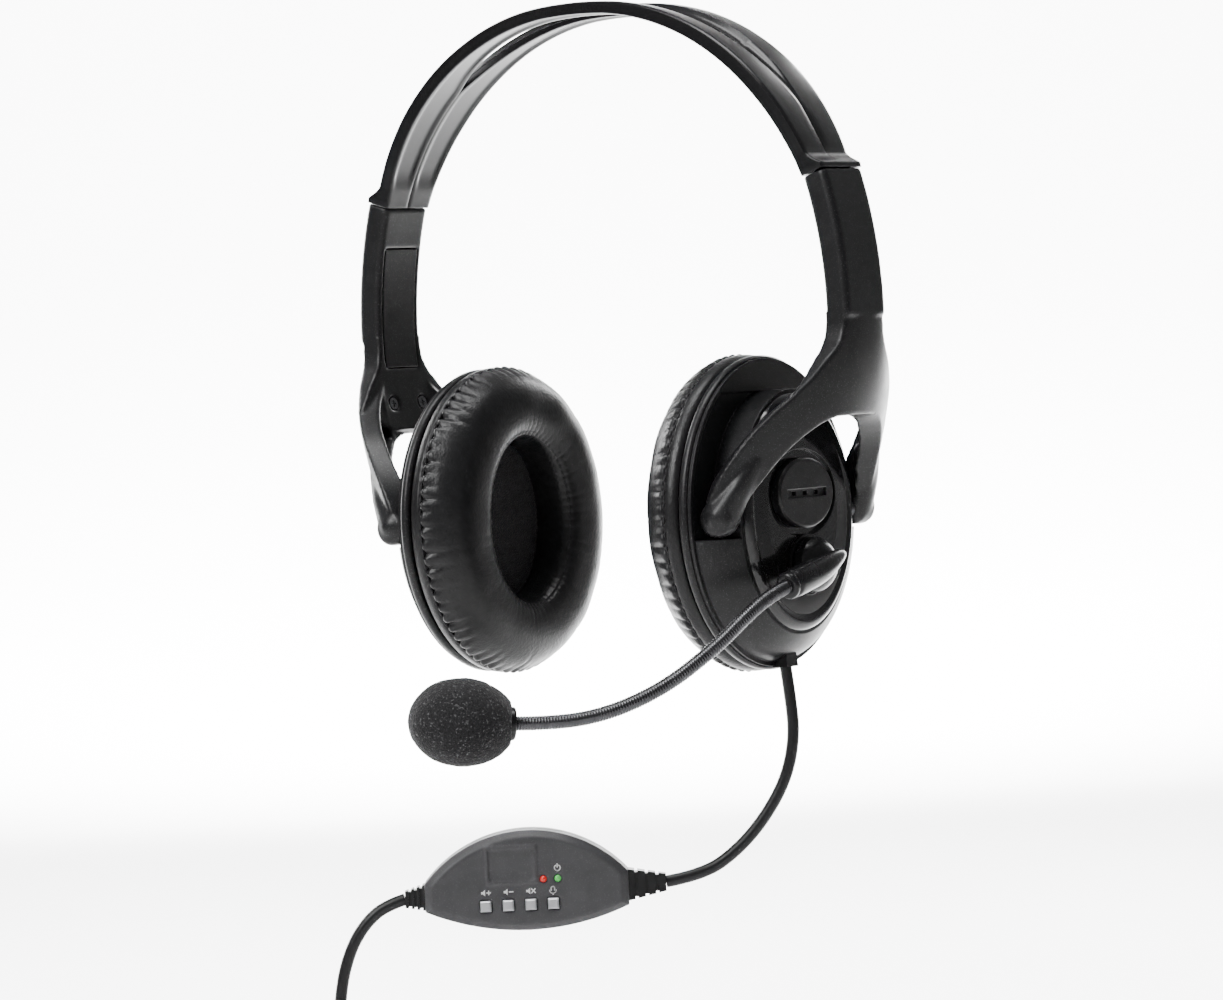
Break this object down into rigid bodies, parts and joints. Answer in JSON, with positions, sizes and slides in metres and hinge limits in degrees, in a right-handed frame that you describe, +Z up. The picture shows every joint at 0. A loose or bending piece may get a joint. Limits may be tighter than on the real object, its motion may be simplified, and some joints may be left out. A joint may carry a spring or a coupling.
{
  "type": "over-ear headset",
  "caption": "Over-ear office headset with padded cups, a boom microphone, a size-adjustable band and a USB lead with an in-line controller.",
  "frame": {"origin": "midway between the two ear cups, level with the middle of their cushions", "axes": "+X towards the cup that carries the microphone (the wearer's right), +Z up towards the crown, so -Y is the way the wearer faces"},
  "size_m": [0.1818, 0.1656, 0.365],
  "materials": {
    "band_plastic": "satin black ABS",
    "strip_plastic": "moulded nylon",
    "shell_plastic": "fine textured black ABS",
    "gloss_plastic": "polished black ABS",
    "dark_steel": "blackened steel",
    "boom_plastic": "satin black",
    "boom_steel": "ribbed flexible tube, black",
    "foam": "open-cell foam",
    "leatherette": "fine-grained black leatherette",
    "speaker_cloth": "woven acoustic cloth",
    "driver_plastic": "moulded",
    "cord_vinyl": "soft black vinyl",
    "remote_plastic": "matte dark grey ABS",
    "key_silver": "silver paint on moulded keys",
    "red_lens": "translucent red",
    "green_lens": "translucent green",
    "circuit": "solder-masked board",
    "switch_plastic": "moulded",
    "plug_steel": "nickel-plated steel",
    "plug_insert": "white moulded insert"
  },
  "bodies": {
    "headband": {"headband": "band_plastic", "size_tongue_left": "strip_plastic", "size_tongue_right": "strip_plastic"},
    "yoke_right": {"yoke_right": "shell_plastic", "yoke_cover_right": "shell_plastic", "yoke_screws_right": "dark_steel"},
    "yoke_left": {"yoke_left": "shell_plastic", "yoke_cover_left": "shell_plastic", "yoke_screws_left": "dark_steel"},
    "cup_right": {"ear_cushion_right": "leatherette", "cushion_ring_right": "shell_plastic", "grille_cloth_right": "speaker_cloth", "cup_rim_right": "shell_plastic", "cup_back_right": "shell_plastic", "side_plate_right": "gloss_plastic", "centre_cap_right": "shell_plastic", "driver_right": "driver_plastic", "diaphragm_right": "driver_plastic", "cup_screws_right": "dark_steel", "pivot_pins_right": "dark_steel", "mic_hub_ring": "boom_plastic", "cable_gland": "cord_vinyl", "headset_cable": "cord_vinyl", "remote_front": "remote_plastic", "remote_back": "remote_plastic", "remote_board": "circuit", "remote_switches": "switch_plastic", "mic_light": "red_lens", "power_light": "green_lens", "remote_reliefs": "cord_vinyl", "remote_screws": "dark_steel", "usb_lead": "cord_vinyl", "usb_hank": "cord_vinyl", "usb_tail": "cord_vinyl", "hank_tie": "cord_vinyl", "plug_grip": "remote_plastic", "plug_shell": "plug_steel", "plug_tongue": "plug_insert"},
    "cup_left": {"ear_cushion_left": "leatherette", "cushion_ring_left": "shell_plastic", "grille_cloth_left": "speaker_cloth", "cup_rim_left": "shell_plastic", "cup_back_left": "shell_plastic", "side_plate_left": "gloss_plastic", "centre_cap_left": "shell_plastic", "driver_left": "driver_plastic", "diaphragm_left": "driver_plastic", "cup_screws_left": "dark_steel", "pivot_pins_left": "dark_steel"},
    "mic_boom": {"mic_hub": "boom_plastic", "mic_elbow": "boom_plastic", "gooseneck": "boom_steel", "mic_collar": "boom_plastic", "mic_capsule": "boom_plastic", "mic_foam": "foam"},
    "button_volume_up": {"button_volume_up": "key_silver"},
    "button_volume_down": {"button_volume_down": "key_silver"},
    "button_speaker_mute": {"button_speaker_mute": "key_silver"},
    "button_mic_mute": {"button_mic_mute": "key_silver"}
  },
  "joints": [
    {"name": "size_right", "type": "hinge", "parent": "headband", "child": "yoke_right", "pos_m": [-0.04915, 0, 0.058], "axis": [0, 1, 0], "range_deg": [0, 9]},
    {"name": "size_left", "type": "hinge", "parent": "headband", "child": "yoke_left", "pos_m": [0.04915, 0, 0.058], "axis": [0, -1, 0], "range_deg": [0, 9]},
    {"name": "tilt_right", "type": "hinge", "parent": "yoke_right", "child": "cup_right", "pos_m": [0.06, 0, -0.0003], "axis": [0, 1, 0], "range_deg": [-8, 8]},
    {"name": "tilt_left", "type": "hinge", "parent": "yoke_left", "child": "cup_left", "pos_m": [-0.06, 0, -0.0003], "axis": [0, -1, 0], "range_deg": [-8, 8]},
    {"name": "boom_turn", "type": "hinge", "parent": "cup_right", "child": "mic_boom", "pos_m": [0.0665, 0, -0.0155], "axis": [-1, 0, 0], "range_deg": [-12, 45]},
    {"name": "button_volume_up_press", "type": "slide", "parent": "cup_right", "child": "button_volume_up", "axis": [-0.6018, 0.7986, 0], "range_m": [0, 0.0006], "stiffness_N_per_m": 2000},
    {"name": "button_volume_down_press", "type": "slide", "parent": "cup_right", "child": "button_volume_down", "axis": [-0.6018, 0.7986, 0], "range_m": [0, 0.0006], "stiffness_N_per_m": 2000},
    {"name": "button_speaker_mute_press", "type": "slide", "parent": "cup_right", "child": "button_speaker_mute", "axis": [-0.6018, 0.7986, 0], "range_m": [0, 0.0006], "stiffness_N_per_m": 2000},
    {"name": "button_mic_mute_press", "type": "slide", "parent": "cup_right", "child": "button_mic_mute", "axis": [-0.6018, 0.7986, 0], "range_m": [0, 0.0006], "stiffness_N_per_m": 2000}
  ]
}
